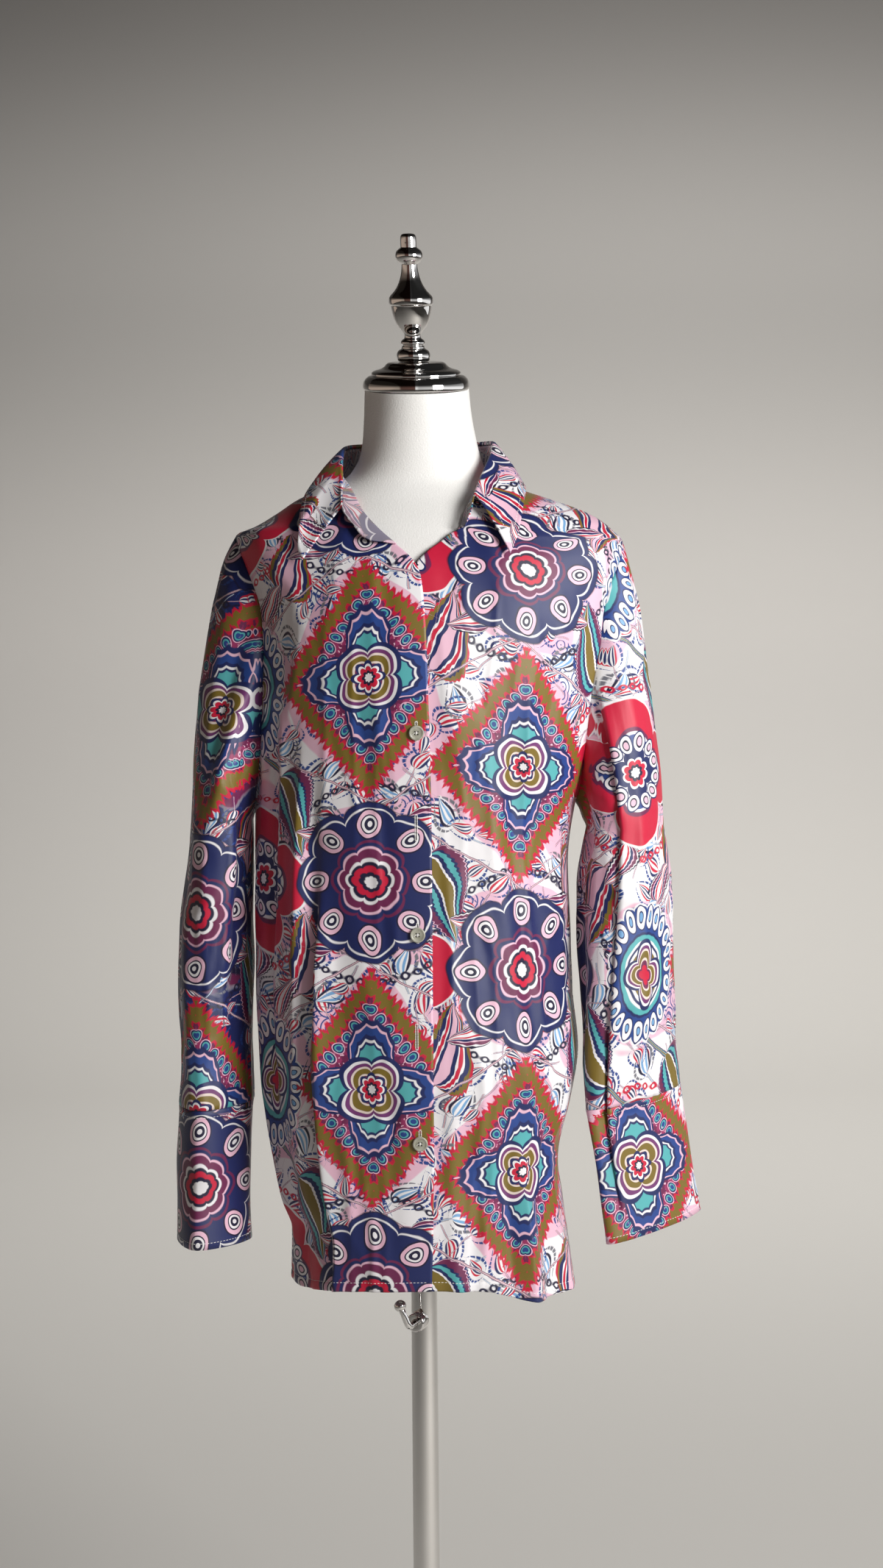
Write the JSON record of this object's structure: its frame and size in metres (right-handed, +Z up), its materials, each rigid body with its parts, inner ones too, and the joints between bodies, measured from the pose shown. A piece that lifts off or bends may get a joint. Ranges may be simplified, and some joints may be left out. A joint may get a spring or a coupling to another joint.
{
  "type": "blouse on dress form",
  "caption": "Long-sleeved shirt blouse in printed satin, worn open at the neck by a limbless dress form on a pole stand with a round base.",
  "frame": {"origin": "centre of the flat underside of the round base", "axes": "+Z up along the pole; -Y is the front of the blouse; +X is the wearer's left"},
  "size_m": [0.4869, 0.3, 1.5861],
  "materials": {
    "cloth": "satin weave with a many-coloured print on white",
    "button": "pale shell look",
    "form_shell": "matt white",
    "chrome": "polished"
  },
  "bodies": {
    "stand": {"stand_base": "chrome", "pole_tube": "chrome", "clamp_nut": "chrome"},
    "raised": {"mast": "chrome", "form": "form_shell", "neck_cap": "chrome", "finial": "chrome", "front_right": "cloth", "front_left": "cloth", "back": "cloth", "sleeve_right": "cloth", "sleeve_left": "cloth", "cuff_right": "cloth", "cuff_left": "cloth", "collar_stand": "cloth", "collar_leaf": "cloth", "button_1": "button", "button_2": "button", "button_3": "button"},
    "clamp": {"clamp_lever": "chrome"}
  },
  "joints": [
    {"name": "height_slide", "type": "slide", "parent": "stand", "child": "raised", "axis": [0, 0, 1], "range_m": [-0.1, 0.15]},
    {"name": "clamp_turn", "type": "hinge", "parent": "stand", "child": "clamp", "pos_m": [0, 0, 0.595], "axis": [-0.4067, -0.9135, 0], "range_deg": [0, 180]}
  ]
}
